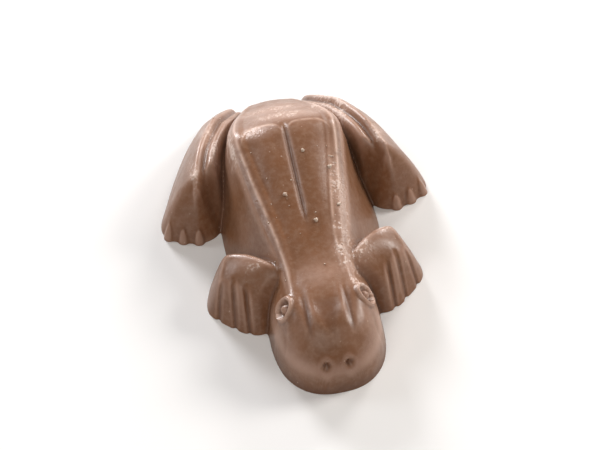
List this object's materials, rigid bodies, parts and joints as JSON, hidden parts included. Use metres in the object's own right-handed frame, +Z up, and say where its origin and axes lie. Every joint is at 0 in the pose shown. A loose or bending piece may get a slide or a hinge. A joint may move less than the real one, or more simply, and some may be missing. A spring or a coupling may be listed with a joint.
{
  "type": "chocolate frog",
  "caption": "Solid milk chocolate frog cast in an open mould: flat base, ribbed back, ringed eyes and folded legs.",
  "frame": {"origin": "middle of the frog's length and width, on its flat base", "axes": "+Y from the nose to the tail along the frog's length, +X to the frog's left side, +Z up from the flat base"},
  "size_m": [0.041, 0.0603, 0.0143],
  "materials": {
    "milk_chocolate": "solid milk chocolate, satin where it met the mould, with a dull scuffed bloom on its high edges"
  },
  "bodies": {
    "root": {"frog": "milk_chocolate"}
  },
  "joints": []
}
